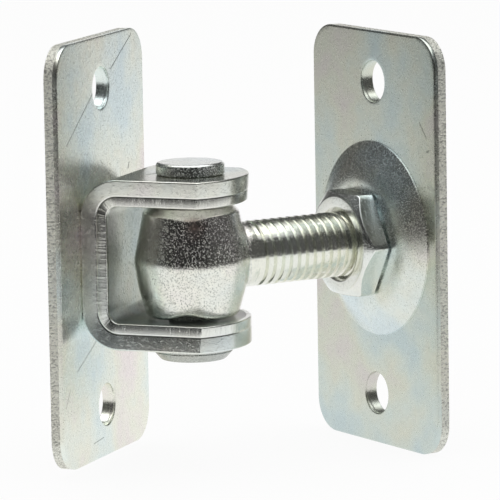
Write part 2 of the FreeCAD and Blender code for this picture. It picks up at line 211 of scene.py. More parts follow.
class Tone:
    """A socket of a node tree. Arithmetic on it adds Math nodes, and node() adds any other."""

    def __init__(self, tree, socket=None):
        self.tree, self.socket = tree, socket

    def node(self, kind, settings=None, sockets=None, out=0):
        made = self.tree.nodes.new(kind)
        for key, value in (settings or {}).items():
            if key == "stops":
                ramp = made.color_ramp.elements
                while len(ramp) < len(value):
                    ramp.new(1)
                for stop, (position, colour) in zip(ramp, value):
                    stop.position, stop.color = position, colour
            else:
                setattr(made, key, value)
        for key, value in (sockets or {}).items():
            if isinstance(value, Tone):
                self.tree.links.new(value.socket, made.inputs[key])
            else:
                made.inputs[key].default_value = value
        return Tone(self.tree, made.outputs[out])

    def into(self, shader, label):
        self.tree.links.new(self.socket, shader.inputs[label])

    def math(self, operation, *values):
        return self.node("ShaderNodeMath", {"operation": operation}, dict(enumerate(values)))

    def vector(self, operation, *values, out=0):
        return self.node("ShaderNodeVectorMath", {"operation": operation}, dict(enumerate(values)), out)

    def scaled(self, share):
        return self.node("ShaderNodeVectorMath", {"operation": "SCALE"}, {0: self, "Scale": share})

    def __add__(self, other):
        return self.math("ADD", self, other)

    def __sub__(self, other):
        return self.math("SUBTRACT", self, other)

    def __rsub__(self, other):
        return self.math("SUBTRACT", other, self)

    def __mul__(self, other):
        return self.math("MULTIPLY", self, other)

    def __truediv__(self, other):
        return self.math("DIVIDE", self, other)

    def __rtruediv__(self, other):
        return self.math("DIVIDE", other, self)

    __radd__ = __add__
    __rmul__ = __mul__

    def between(self, low, high):
        """0 below low, 1 above high, eased between."""
        return self.node("ShaderNodeMapRange", {"interpolation_type": "SMOOTHSTEP"},
                         {"Value": self, "From Min": low, "From Max": high})

    def speckle(self, scale, detail=2.0, roughness=0.5):
        """Noise on this vector, scale in waves to the millimetre."""
        return self.node("ShaderNodeTexNoise", {"normalize": True},
                         {"Vector": self, "Scale": scale, "Detail": detail, "Roughness": roughness})

    def scored(self, start, end, width):
        """1 along a straight score on this place in millimetres, 0 away from it."""
        line = Vector(end) - Vector(start)
        offset = self.vector("SUBTRACT", self, start)
        share = offset.vector("DOT_PRODUCT", offset, line / line.length_squared, out=1)
        nearest = self.node("ShaderNodeVectorMath", {"operation": "SCALE"}, {
            0: line, "Scale": share.node("ShaderNodeClamp", {}, {0: share})})
        away = offset.vector("DISTANCE", offset, nearest, out=1)
        return 1 - away.between(width / 3, width)


BLOOM_TINT, BLOOM_ROUGH = (0.46, 0.33, 0.29), 0.28
BLOOM_CORE, BLOOM_EDGE = 0.5, 1.6
VEIL_TINTS = [(0.34, (0.84, 0.94, 1.0)), (0.45, (0.95, 1.0, 0.98)), (0.56, (1.0, 0.985, 0.90)),
              (0.68, (1.0, 0.91, 0.93))]
VEIL_WAVES, SPANGLE_WAVES = 0.05, 0.35
PIT_FLOOR, PIT_RIM = 0.36, 0.54
GRIT_FROM, GRIT_TO = 0.57, 0.63
PIT_HEIGHT, GRIT_HEIGHT = 0.7, 0.6
HAIR_STRETCH, HAIR_FROM, HAIR_TO, HAIR_SHARE = (1.5, 1.5, 0.12), 0.68, 0.74, 0.35
HAIR_PATCH_FROM, HAIR_PATCH_TO = 0.5, 0.65
SHADE_LEAST, SHADE_SPAN, GLOSS_SPAN = 0.90, 0.20, 0.12
SCRATCH_DARK, SCRATCH_ROUGH, SCRATCH_DEPTH = 0.34, 0.15, 0.02


def zinc(name, shine, gloss, grain, scale, cloud=0.4, sparkle=0.0, pit_darkening=0.0, cut=None, scores=(), blooms=()):
    """Bright zinc over steel. shine is its colour and gloss its roughness. grain is the depth in mm of its texture
    and scale its waves to the mm. cloud is the strength of its passivated tints, sparkle of its dull grains and
    pit_darkening of the darker colour in the low places of its pits. cut stretches the texture along a sheared
    wall. scores are scratches, and blooms are brown stains."""
    finish = bpy.data.materials.new(name)
    finish.use_nodes = True
    tree = finish.node_tree
    surface = tree.nodes["Principled BSDF"]
    start = Tone(tree)
    mm = start.node("ShaderNodeTexCoord", out=3).scaled(1 / MM)
    veil = mm.speckle(VEIL_WAVES, detail=3.0, roughness=0.55)
    stops = [(place, (*[part * (1 - cloud + cloud * tint) for part, tint in zip(shine, tints)], 1))
             for place, tints in VEIL_TINTS]
    tinted = veil.node("ShaderNodeValToRGB", {"stops": stops}, {0: veil})
    spangle = mm.speckle(SPANGLE_WAVES, detail=5.0, roughness=0.65)
    grained = mm
    if cut:
        flat = start.node("ShaderNodeAttribute", {"attribute_name": "flat"}, out=1)
        grained = flat.vector("MULTIPLY", flat, cut)
    pits = grained.speckle(scale, detail=3.0, roughness=0.62)
    grit = pits.between(GRIT_FROM, GRIT_TO)
    hair = mm.vector("MULTIPLY", mm, HAIR_STRETCH).speckle(1.0).between(HAIR_FROM, HAIR_TO)
    scratch = hair * spangle.between(HAIR_PATCH_FROM, HAIR_PATCH_TO) * HAIR_SHARE
    for score in scores:
        scratch = scratch + mm.scored(*score)
    shade = SHADE_LEAST + spangle * SHADE_SPAN - scratch * SCRATCH_DARK
    # The colour darkens in the low places of the pits.
    colour = tinted.scaled(shade - (1 - pits.between(PIT_FLOOR, PIT_RIM)) * pit_darkening)
    rough = gloss + (spangle - 0.5) * GLOSS_SPAN + scratch * SCRATCH_ROUGH + grit * sparkle
    for middle, radius in blooms:
        away = mm.vector("DISTANCE", mm, middle, out=1) + spangle * radius
        fresh = away.between(BLOOM_CORE * radius, BLOOM_EDGE * radius)
        colour = fresh.node("ShaderNodeMix", {"data_type": "RGBA"},
                            {0: fresh, 6: (*BLOOM_TINT, 1), 7: colour}, out=2)
        rough = rough + (1 - fresh) * BLOOM_ROUGH
    colour.into(surface, "Base Color")
    rough.into(surface, "Roughness")
    height = pits * (PIT_HEIGHT * grain) + grit * (GRIT_HEIGHT * grain) - scratch * SCRATCH_DEPTH
    height.node("ShaderNodeBump", {}, {"Strength": 1.0, "Distance": MM, "Height": height}).into(surface, "Normal")
    surface.inputs["Metallic"].default_value = 1.0
    return finish


post_zinc = zinc("zinc_post_face", SHEET_SHINE, SHEET_GLOSS, grain=0.011, scale=2.2, cloud=1.0, sparkle=0.05,
                 pit_darkening=0.03, scores=POST_SCORES)
torn_zinc = zinc("zinc_torn_wall", WALL_SHINE, WALL_GLOSS, grain=0.40, scale=2.6, cloud=0.2, sparkle=0.25,
                 pit_darkening=0.45, cut=(1, 1, 0.6))

outline = [rectangle_ring(inset, depth) for inset, depth in blanked_rim(POST_ROLL, PLATE_THICK)]
torn_strips = finished_from(outline, TEAR_FROM * PLATE_THICK, 1)
screw_holes = []
for side in (1, -1):
    rings = hole_rings(0, side * SCREW_SPACING / 2, SCREW_HOLE, PLATE_THICK)
    screw_holes.append((rings, finished_from(rings, PLATE_THICK, 0)))


def on_post(point):
    return Vector((PLATE_THICK - point.z, point.x, point.y))


post_plate = finished("post_plate_zinc", blanked_sheet([(outline, torn_strips), *screw_holes], on_post),
                      [post_zinc, torn_zinc])
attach(post_plate, "post_bracket")
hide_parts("post_plate")

# The bracket is a length of flat steel bar, cropped to arcs at both ends, drilled for the pin, and bent to a U on
# a press brake. Its sheared sides lean a little and show the line where the cut broke. Its back is projection welded
# to the post plate without a bead. Inside the U its finish is duller, and its darker colour there is painted shade.
STRAP_THICK, STRAP_WIDTH = 5.7 * MM, 26 * MM
BRACKET_MIDDLE = -1.9 * MM
BRACKET_HALF = 18.1 * MM
BEND_INSIDE = 2.5 * MM
PIN_OUT = 23 * MM
EAR_END, EAR_ARC_OUT = 18 * MM, 17 * MM
STRAP_ROLL = 0.35 * MM
SHEAR_FROM, SHEAR_MIDDLE, SHEAR_TO = 0.56, 0.61, 0.66
SHEAR_GROOVE, SHEAR_LEAN = 0.12 * MM, 0.40 * MM
INNER_EDGE = 0.3 * MM
PIN_RADIUS, PIN_SEAT = 5 * MM, 0.05 * MM
EAR_STEPS, STRAP_STEPS, BEND_STEPS = 40, 132, 14
BEND_BULGE, BEND_SHARE = 0.35 * MM, 0.88
# The colour inside the U is darker than the bar's faces: painted shade.
BAR_SHINE, CROPPED_SHINE, INNER_SHADED_SHINE = (0.84, 0.855, 0.82), (0.86, 0.87, 0.83), (0.64, 0.67, 0.645)
BAR_SCORES = [((14.4, -2.7, 16.2), (15.9, 0.2, 16.2), 0.6)]

bend_outside = BEND_INSIDE + STRAP_THICK
bend_middle = BEND_INSIDE + STRAP_THICK / 2
back_half = BRACKET_HALF - bend_outside
bend_end = back_half + bend_middle * math.pi / 2
bend_out = PLATE_THICK + bend_outside


def along_strap(out):
    """Length along the bar, from its middle, of a place on an ear."""
    return bend_end + out - bend_out


def bent(point):
    """The bar's point (along, across, depth from its outer face) after both bends."""
    along, across, depth = point
    side, length = math.copysign(1, along), abs(along)
    if length <= back_half:
        return Vector((PLATE_THICK + depth, across, BRACKET_MIDDLE + along))
    if length >= bend_end:
        return Vector((bend_out + length - bend_end, across, BRACKET_MIDDLE + side * (BRACKET_HALF - depth)))
    turn = (length - back_half) / bend_middle
    squeeze = math.sin(2 * turn) ** 2 * (depth / STRAP_THICK) ** 2 * BEND_BULGE
    reach = bend_outside - depth
    return Vector((bend_out - reach * math.cos(turn), across * (1 - squeeze / STRAP_WIDTH),
                   BRACKET_MIDDLE + side * (back_half + reach * math.sin(turn))))


def strap_ring(inset, depth):
    """One ring round the flat bar. Its sides and the arc of its upper end lean in from the outer face, and the arc
    of its lower end is cropped square."""
    lean = SHEAR_LEAN * depth / STRAP_THICK
    half = STRAP_WIDTH / 2 - inset - lean
    middle = along_strap(EAR_ARC_OUT)
    ring = []
    for side, arc in ((1, EAR_END - inset - lean), (-1, EAR_END - inset)):
        corner = math.asin(half / arc)
        reach = middle + arc * math.cos(corner)
        for step in range(EAR_STEPS + 1):
            turn = corner * (2 * step / EAR_STEPS - 1)
            ring.append(Vector((side * (middle + arc * math.cos(turn)), side * arc * math.sin(turn), depth)))
        for step in range(1, STRAP_STEPS):
            ring.append(Vector((side * reach * (1 - 2 * step / STRAP_STEPS), side * half, depth)))
    return ring


cropped_rim = fillet_path([
    (ROLL_REACH * STRAP_ROLL, 0, 0), (0, 0, STRAP_ROLL), (0, SHEAR_FROM * STRAP_THICK, 0),
    (SHEAR_GROOVE, SHEAR_MIDDLE * STRAP_THICK, 0), (0, SHEAR_TO * STRAP_THICK, 0), (0, STRAP_THICK, INNER_EDGE),
    (ROLL_REACH * STRAP_ROLL, STRAP_THICK, 0)])
strap_outline = [strap_ring(inset, depth) for inset, depth in cropped_rim]
bar_loops = [(strap_outline, finished_from(strap_outline, STRAP_ROLL, 1))]
for side in (1, -1):
    rings = hole_rings(side * along_strap(PIN_OUT), 0, PIN_RADIUS + PIN_SEAT, STRAP_THICK)
    bar_loops.append((rings, finished_from(rings, 0, 1)))
bend_rows = [side * (back_half + (bend_end - back_half) * row / BEND_STEPS)
             for row in range(BEND_STEPS + 1) for side in (1, -1)]
bend_points = [(along, STRAP_WIDTH * (column / BEND_STEPS - 0.5) * BEND_SHARE)
               for along in bend_rows for column in range(BEND_STEPS + 1)]

bar_zinc = zinc("zinc_bar_face", BAR_SHINE, gloss=0.25, grain=0.016, scale=1.6, cloud=0.6, scores=BAR_SCORES)
cropped_zinc = zinc("zinc_bar_wall", CROPPED_SHINE, gloss=0.20, grain=0.02, scale=1.2, cloud=0.3, sparkle=0.05,
                    pit_darkening=0.06, cut=(1.6, 1.6, 0.15))
# Painted shade inside the U: a darker copy of the bar's zinc, also rougher.
inner_shaded_zinc = zinc("zinc_bar_inside_painted_shade", INNER_SHADED_SHINE, gloss=0.33, grain=0.06, scale=1.4, cloud=0.8, sparkle=0.15,
                  pit_darkening=0.15)
bracket = finished("u_bracket_zinc", blanked_sheet(bar_loops, bent, bend_points, back_finish=2),
                   [bar_zinc, cropped_zinc, inner_shaded_zinc])
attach(bracket, "post_bracket")
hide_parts("u_bracket")

# The pin is turned from bar with a low head. It is pushed down through both ears and the eye, and its lower end is
# riveted over against a stepped collar, so it can't come out again.
EAR_TOP, EAR_BOTTOM = BRACKET_MIDDLE + BRACKET_HALF, BRACKET_MIDDLE - BRACKET_HALF
HEAD_RADIUS, HEAD_TOP, HEAD_RIM = 7.25 * MM, EAR_TOP + 2.7 * MM, 0.75 * MM
HEAD_GROOVE, HEAD_FOOT = 0.35 * MM, 0.3 * MM
COLLAR_RADIUS, COLLAR_BOTTOM = 8.8 * MM, EAR_BOTTOM - 1.1 * MM
RIVET_RADIUS, RIVET_TIP, RIVET_BOTTOM = 8.4 * MM, 6.9 * MM, COLLAR_BOTTOM - 1.9 * MM
RIVET_RIM, RIVET_GROOVE, GROOVE_WIDTH = 0.5 * MM, 0.5 * MM, 0.25 * MM
# Faces that turn up get a lighter colour, painted light, and faces that turn down a darker one, painted shade, over
# the faced top's and riveted end's own finish.
FACED_LIT_LIFT, PEENED_SHADED_FALL = 0.6, 0.2
TURNED_SHINE, FACED_LIT_SHINE, PEENED_SHADED_SHINE = (0.80, 0.815, 0.79), (0.86, 0.87, 0.85), (0.58, 0.59, 0.555)
LATHE_STEPS = 128


def turned(profile, axis, across, origin):
    """A closed turned shape: profile is (radius, along the axis), and either ends on the axis or closes on itself."""
    other = axis.cross(across)
    turns = [math.tau * step / LATHE_STEPS for step in range(LATHE_STEPS)]
    shape = bmesh.new()
    rings = []
    for radius, along in profile:
        centre = origin + axis * along
        if radius == 0:
            rings.append([shape.verts.new(centre)])
        else:
            arms = [across * math.cos(a) + other * math.sin(a) for a in turns]
            rings.append([shape.verts.new(centre + arm * radius) for arm in arms])
    if profile[0][0]:
        rings.append(rings[0])
    for ring, after in zip(rings, rings[1:]):
        for k in range(LATHE_STEPS):
            loop = [ring[k % len(ring)], ring[(k + 1) % len(ring)],
                    after[(k + 1) % len(after)], after[k % len(after)]]
            shape.faces.new(list(dict.fromkeys(loop)))
    bmesh.ops.recalc_face_normals(shape, faces=shape.faces)
    return shape


UP, OUT = Vector((0, 0, 1)), Vector((1, 0, 0))
pin_axis = Vector((PIN_OUT, 0, 0))
pin_profile = fillet_path([
    (0, HEAD_TOP, 0), (HEAD_RADIUS, HEAD_TOP, HEAD_RIM), (HEAD_RADIUS, EAR_TOP + HEAD_FOOT, 0),
    (HEAD_RADIUS - HEAD_GROOVE, EAR_TOP, 0), (PIN_RADIUS, EAR_TOP, 0), (PIN_RADIUS, EAR_BOTTOM, 0),
    (COLLAR_RADIUS, EAR_BOTTOM, 0), (COLLAR_RADIUS, COLLAR_BOTTOM, HEAD_FOOT),
    (RIVET_RADIUS - RIVET_GROOVE, COLLAR_BOTTOM, 0), (RIVET_RADIUS - RIVET_GROOVE, COLLAR_BOTTOM - GROOVE_WIDTH, 0),
    (RIVET_RADIUS, COLLAR_BOTTOM - GROOVE_WIDTH, 0), (RIVET_TIP + RIVET_RIM, RIVET_BOTTOM + RIVET_RIM, RIVET_RIM),
    (RIVET_TIP, RIVET_BOTTOM, HEAD_FOOT), (0, RIVET_BOTTOM, 0)])
pin_zinc = zinc("zinc_pin_turned", TURNED_SHINE, gloss=0.20, grain=0.10, scale=2.6, sparkle=0.3, pit_darkening=0.2)
faced_lit_zinc = zinc("zinc_pin_faced_painted_light", FACED_LIT_SHINE, gloss=0.22, grain=0.015, scale=2.0, sparkle=0.06)
peened_shaded_zinc = zinc("zinc_pin_peened_painted_shade", PEENED_SHADED_SHINE, gloss=0.27, grain=0.08, scale=1.6, sparkle=0.2, pit_darkening=0.25)
pin_shape = turned(pin_profile, UP, OUT, pin_axis)
# Upward faces take the lighter zinc, painted light; downward faces take the darker zinc, painted shade.
for face in pin_shape.faces:
    face.material_index = 1 if face.normal.z > FACED_LIT_LIFT else 2 if face.normal.z < -PEENED_SHADED_FALL else 0
hinge_pin = finished("hinge_pin_zinc", pin_shape, [pin_zinc, faced_lit_zinc, peened_shaded_zinc])
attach(hinge_pin, "post_bracket")
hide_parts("hinge_pin")

# The eye bolt is one drop forging: a barrel eye, drilled for the pin, that runs into a round shank. The rims of the
# eye are scalloped where its flash was trimmed, and its skin is grainy. The shank is die cut with a 2 mm thread,
# which runs out just before the eye.
BOLT_LEVEL = -2.0 * MM
EYE_RADIUS, EYE_HALF, EYE_LAND = 12.2 * MM, 11.8 * MM, 0.5 * MM
EYE_SHOULDER, EYE_FACE, EYE_TURN = 10.2 * MM, 8.8 * MM, 1.5 * MM
EYE_LOW_SHOULDER, EYE_LOW_FACE, EYE_LOW_TURN = 9.9 * MM, 9.2 * MM, 0.6 * MM
EYE_BELLY, BELLY_ARC = 11.4 * MM, 14 * MM
EYE_CROWN, SHOULDER_EDGE, EDGE_SPARE = 4 * MM, 0.3 * MM, 0.1 * MM
EYE_BORE = 5.3 * MM
EYE_BLOOMS = [((27.6, -10.2, 6.3), 3.4)]
SCALLOP_DEPTH, SCALLOP_TURN, SCALLOP_WIDTH = 1.0 * MM, math.radians(-76), math.radians(20)
NECK_RADIUS, NECK_START, NECK_END = 7.12 * MM, 6 * MM, 12.9 * MM
SHANK_RADIUS, SHANK_START, BOLT_END = 7 * MM, 6 * MM, 48.8 * MM
NECK_ARC, NECK_STUB = 0.6 * MM, 0.3 * MM
THREAD_PITCH, THREAD_DEPTH = 2 * MM, 0.75 * MM
THREAD_CREST, THREAD_ROOT = 0.57, 0.97
THREAD_RUNOUT = (12.9 * MM, 14.9 * MM)
END_RADIUS = 5.8 * MM
FORGING_VOXEL, FORGING_SOFT, FORGING_EASE = 0.25 * MM, 3, 0.5
SKIN_END = 0.5 * MM
TURN_STEPS, PITCH_STEPS, SPARE_TURNS = 72, 14, 3
THREAD_SHINE, FORGED_SHINE = (0.88, 0.89, 0.82), (0.87, 0.88, 0.84)

joints = {joint["name"]: joint for joint in frame["joints"]}
bolt_way = Vector(joints["plate_travel"]["axis"]).normalized()
near_way = bolt_way.cross(UP)
bolt_root = pin_axis + UP * BOLT_LEVEL

barrel_profile = fillet_path([
    (EYE_BORE, EYE_HALF, 0), (EYE_BORE, -EYE_HALF, 0), (EYE_LOW_FACE, -EYE_HALF, 0),
    (EYE_LOW_SHOULDER, EYE_LOW_TURN - EYE_HALF, SHOULDER_EDGE), (EYE_BELLY, -EYE_HALF / 2, BELLY_ARC),
    (EYE_RADIUS, -EYE_LAND, EYE_CROWN),
    (EYE_RADIUS, EYE_LAND, EYE_CROWN), (EYE_SHOULDER, EYE_HALF - EYE_TURN, SHOULDER_EDGE),
    (EYE_FACE, EYE_HALF, 0)])
barrel = turned(barrel_profile, UP, OUT, bolt_root)
for corner in barrel.verts:
    arm = corner.co - bolt_root
    turn = math.atan2(arm.y, arm.x) - SCALLOP_TURN
    if abs(arm.z) > EYE_HALF - EYE_TURN - SHOULDER_EDGE and arm.xy.length > EYE_FACE + EDGE_SPARE:
        corner.co.z -= math.copysign(SCALLOP_DEPTH * math.exp(-(turn / SCALLOP_WIDTH) ** 2), arm.z)
neck_profile = fillet_path([
    (0, NECK_START, 0), (NECK_RADIUS, NECK_START, 0), (NECK_RADIUS, EYE_RADIUS - NECK_ARC, NECK_ARC),
    (SHANK_RADIUS, NECK_END, NECK_ARC), (SHANK_RADIUS, NECK_END + NECK_STUB, 0), (0, NECK_END + NECK_STUB, 0)])
neck = turned(neck_profile, bolt_way, UP, bolt_root)
forging = bmesh.new()
for lump in (barrel, neck):
    lump_mesh = bpy.data.meshes.new("forging_lump")
    lump.to_mesh(lump_mesh)
    lump.free()
    forging.from_mesh(lump_mesh)
    bpy.data.meshes.remove(lump_mesh)
rough_mesh = bpy.data.meshes.new("eye_forging")
forging.to_mesh(rough_mesh)
forging.free()
rough_eye = bpy.data.objects.new("eye_forging", rough_mesh)
bpy.context.collection.objects.link(rough_eye)
blend = rough_eye.modifiers.new("forged_together", "REMESH")
blend.mode, blend.voxel_size = "VOXEL", FORGING_VOXEL
even = rough_eye.modifiers.new("forged_soft", "SMOOTH")
even.factor, even.iterations = FORGING_EASE, FORGING_SOFT
eye_mesh = bpy.data.meshes.new_from_object(rough_eye.evaluated_get(bpy.context.evaluated_depsgraph_get()))
bpy.data.objects.remove(rough_eye)

thread_tree = bpy.data.node_groups.new("die_cut_thread", "GeometryNodeTree")
thread_inputs = {
    "Radius": SHANK_RADIUS, "Depth": THREAD_DEPTH, "Pitch": THREAD_PITCH, "Start": SHANK_START, "End": BOLT_END,
    "Runout Start": THREAD_RUNOUT[0], "Runout End": THREAD_RUNOUT[1], "End Radius": END_RADIUS}
for label in thread_inputs:
    thread_tree.interface.new_socket(label, in_out="INPUT", socket_type="NodeSocketFloat")
thread_tree.interface.new_socket("Thread", in_out="OUTPUT", socket_type="NodeSocketGeometry")
entry = thread_tree.nodes.new("NodeGroupInput")
given = {label: Tone(thread_tree, entry.outputs[label]) for label in thread_inputs}
turns_in_all = math.ceil((BOLT_END - SHANK_START) / THREAD_PITCH) + 2 * SPARE_TURNS
ribbon = given["Pitch"].node("GeometryNodeMeshGrid", {}, {
    "Size X": 1.0, "Size Y": 1.0, "Vertices X": turns_in_all * TURN_STEPS + 1, "Vertices Y": PITCH_STEPS + 1})
spot = ribbon.node("GeometryNodeInputPosition")
share = spot.node("ShaderNodeSeparateXYZ", {}, {0: spot})
across_pitch = Tone(thread_tree, share.socket.node.outputs[1])
turns_done = (share + 0.5) * turns_in_all
raw_along = given["Start"] + given["Pitch"] * (turns_done + across_pitch + (0.5 - SPARE_TURNS))
groove = across_pitch.math("ABSOLUTE", across_pitch) * 2.0
groove = groove.node("ShaderNodeMapRange", {}, {"Value": groove, "From Min": THREAD_CREST, "From Max": THREAD_ROOT})
fade = raw_along.between(given["Runout Start"], given["Runout End"])
wall = given["Radius"] - given["Depth"] * groove * fade
bevel = given["End Radius"] + given["End"] - raw_along
wall = wall.math("MINIMUM", wall, bevel.math("MAXIMUM", bevel, given["End Radius"]))
start_over = (given["Start"] - raw_along) / given["Pitch"]
end_over = (raw_along - given["End"]) / given["Pitch"]
start_cap = 1 - start_over.node("ShaderNodeClamp", {}, {0: start_over})
end_cap = 1 - end_over.node("ShaderNodeClamp", {}, {0: end_over})
wall = wall * start_cap * end_cap
kept = raw_along.math("MINIMUM", raw_along.math("MAXIMUM", raw_along, given["Start"]), given["End"])
angle = turns_done * math.tau
moved = wall.node("ShaderNodeCombineXYZ", {}, {
    0: kept, 1: wall * angle.math("COSINE", angle), 2: wall * angle.math("SINE", angle)})
cut = ribbon.node("GeometryNodeSetPosition", {}, {"Geometry": ribbon, "Position": moved})
closed = cut.node("GeometryNodeMergeByDistance", {}, {"Geometry": cut, "Distance": MERGE_GAP})
real = closed.node("GeometryNodeRealizeInstances", {}, {0: closed})
thread_zinc = zinc("zinc_thread_cut", THREAD_SHINE, gloss=0.15, grain=0.012, scale=2.2, cloud=0.3, sparkle=0.05,
                   pit_darkening=0.06)
dressed = real.node("GeometryNodeSetMaterial", {}, {"Geometry": real, "Material": thread_zinc})
leave = thread_tree.nodes.new("NodeGroupOutput")
thread_tree.links.new(dressed.socket, leave.inputs[0])

thread_object = bpy.data.objects.new("thread_blank", bpy.data.meshes.new("thread_blank"))
bpy.context.collection.objects.link(thread_object)
cutter = thread_object.modifiers.new("die", "NODES")
cutter.node_group = thread_tree
for item in thread_tree.interface.items_tree:
    if item.item_type == "SOCKET" and item.in_out == "INPUT":
        cutter[item.identifier] = thread_inputs[item.name]
thread_mesh = bpy.data.meshes.new_from_object(thread_object.evaluated_get(bpy.context.evaluated_depsgraph_get()))
bpy.data.objects.remove(thread_object)
axes = Matrix((bolt_way, UP, near_way)).transposed().to_4x4()
thread_mesh.transform(Matrix.Translation(bolt_root) @ axes)

bolt = bmesh.new()
bolt.from_mesh(eye_mesh)
forged_count = len(bolt.faces)
bolt.from_mesh(thread_mesh)
bolt.faces.ensure_lookup_table()
for face in bolt.faces:
    arm = face.calc_center_median() - bolt_root
    face.material_index = int(face.index >= forged_count or arm.xy.length > EYE_RADIUS + SKIN_END)
bmesh.ops.recalc_face_normals(bolt, faces=bolt.faces)
forged_zinc = zinc("zinc_forged_eye", FORGED_SHINE, gloss=0.09, grain=0.07, scale=2.9, cloud=0.5, sparkle=0.18,
                   pit_darkening=0.05, blooms=EYE_BLOOMS)
eye_bolt = finished("eye_bolt_zinc", bolt, [forged_zinc, thread_zinc])
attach(eye_bolt, "swing_bolt")
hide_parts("eye_bolt")

# The gate plate is the leaf that is screwed to the gate. It is blanked as the post plate is, and its middle is
# pressed up into a hollow dome of even thickness, with a flat seat for the nuts, a clear hole for the bolt and a
# small step round its foot. The stretched skin of the dome is grainy.
PLATE_ALONG, PLATE_LIFT = 46 * MM, 0.5 * MM
GATE_ROLL = 0.42 * MM
# The gate face's colour is darker than the post plate's, though both are the same zinc: painted shade.
GATE_SHADED_SHINE, DOME_SHINE = (0.69, 0.72, 0.68), (0.84, 0.86, 0.83)
DOME_HEIGHT, DOME_HOLE = 4 * MM, 7.6 * MM
SHOULDER_OUT, FOOT_OUT = 14.63 * MM, 21.04 * MM
SHOULDER_IN, FOOT_IN = 13.77 * MM, 20.18 * MM
SHOULDER_ARC, INNER_ARC = 10 * MM, 2 * MM
FOOT_STEP, FOOT_ROUND = 0.28 * MM, 0.1 * MM
FOOT_MARGIN = 0.95 * MM
DOME_STEPS = 10
GATE_SCORES = [((65.6, 25.1, 25.3), (67.6, 23.5, 22.3), 0.2), ((67.8, 23.4, 19.3), (68.4, 22.9, 19.6), 0.3)]
plate_middle = bolt_root + bolt_way * PLATE_ALONG + UP * PLATE_LIFT


def on_gate(point):
    return plate_middle + near_way * point.x + UP * point.y + bolt_way * point.z


dome_profile = fillet_path([
    (FOOT_OUT + FOOT_MARGIN, 0, 0), (FOOT_OUT, 0, FOOT_ROUND), (FOOT_OUT, -FOOT_STEP, FOOT_ROUND),
    (SHOULDER_OUT, -DOME_HEIGHT, SHOULDER_ARC),
    (DOME_HOLE, -DOME_HEIGHT, HOLE_ROLL), (DOME_HOLE, PLATE_THICK - DOME_HEIGHT, BACK_EDGE),
    (SHOULDER_IN, PLATE_THICK - DOME_HEIGHT, INNER_ARC), (FOOT_IN, PLATE_THICK, INNER_ARC),
    (FOOT_IN + ROLL_REACH * GATE_ROLL, PLATE_THICK, 0)], DOME_STEPS)
dome = [circle_ring(0, 0, radius, depth) for radius, depth in dome_profile]
dome_strips = [0] + [2] * (len(dome) - 2)
# The gate face's darker colour is painted shade; its scores are real.
gate_shaded_zinc = zinc("zinc_gate_face_painted_shade", GATE_SHADED_SHINE, SHEET_GLOSS, grain=0.011, scale=2.2, cloud=1.0, sparkle=0.05,
                 pit_darkening=0.03, scores=GATE_SCORES)
dome_zinc = zinc("zinc_dome_skin", DOME_SHINE, gloss=0.26, grain=0.03, scale=3.6, cloud=0.9, sparkle=0.08,
                 pit_darkening=0.04)
gate_outline = [rectangle_ring(inset, depth) for inset, depth in blanked_rim(GATE_ROLL, PLATE_THICK)]
gate_plate = finished("gate_plate_zinc", blanked_sheet(
    [(gate_outline, torn_strips), *screw_holes, (dome, dome_strips)], on_gate), [gate_shaded_zinc, torn_zinc, dome_zinc])
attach(gate_plate, "gate_leaf")
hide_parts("gate_plate")

# Two thin hexagon nuts hold the gate plate on the bolt, one in front and one in the dome's hollow. They are cut
# from hexagon bar, turned to a wide chamfer on one face and a low washer face on the other, countersunk and tapped.
NUT_FLAT, NUT_CORNER, LOCK_THICK = 11 * MM, 12.5 * MM, 5.6 * MM
NUT_FACE, NUT_SLOPE = 10.3 * MM, math.radians(38)
NUT_BORE, NUT_SINK, SINK_DEPTH = 6.4 * MM, 8.1 * MM, 1.6 * MM
NUT_EDGE = 0.14 * MM
LOCK_FOOT, REAR_FOOT = 0.4 * MM, 0.1 * MM
NUT_SIDE_STEPS = 24
SEAT_GAP = 0.02 * MM
NUT_SHINE = (0.85, 0.87, 0.84)
nut_zinc = zinc("zinc_nut_turned", NUT_SHINE, gloss=0.19, grain=0.014, scale=2.8, sparkle=0.05, pit_darkening=0.03)


def hexagon(turn):
    """Distance from a nut's axis to its side."""
    return min(NUT_FLAT / math.cos((turn % (math.pi / 3)) - math.pi / 6), NUT_CORNER)


def nut_profile(side, thick, foot):
    """(radius, depth) round a nut's section where its side is this far out, the chamfered face first. foot is the
    height of the round washer face behind."""
    fall = math.tan(NUT_SLOPE)
    drop = max(side - NUT_FACE, 0) * fall
    chamfered = [(NUT_FACE - NUT_EDGE, 0), (NUT_FACE + NUT_EDGE, NUT_EDGE * fall),
                 (side - NUT_EDGE, drop - NUT_EDGE * fall), (side, drop + NUT_EDGE)]
    washer = [(side, thick - foot - NUT_EDGE), (side - NUT_EDGE, thick - foot), (NUT_FACE, thick - foot),
              (NUT_FACE, thick)]
    return [(NUT_BORE, SINK_DEPTH), (NUT_SINK - NUT_EDGE, NUT_EDGE), (NUT_SINK + NUT_EDGE, 0), *chamfered, *washer,
            (NUT_SINK, thick), (NUT_BORE, thick - SINK_DEPTH)]


def nut_shape(first, thick, foot):
    """A nut whose chamfered face is first along the bolt."""
    steps = 6 * NUT_SIDE_STEPS
    shape = bmesh.new()
    columns = []
    for step in range(steps):
        turn = math.tau * step / steps
        arm = UP * math.cos(turn + math.pi / 6) + near_way * math.sin(turn + math.pi / 6)
        columns.append([shape.verts.new(bolt_root + bolt_way * (first + depth) + arm * radius)
                        for radius, depth in nut_profile(hexagon(turn), thick, foot)])
    for column, beside in zip(columns, columns[1:] + columns[:1]):
        for k in range(len(column)):
            following = (k + 1) % len(column)
            shape.faces.new((column[k], beside[k], beside[following], column[following]))
    bmesh.ops.recalc_face_normals(shape, faces=shape.faces)
    return shape


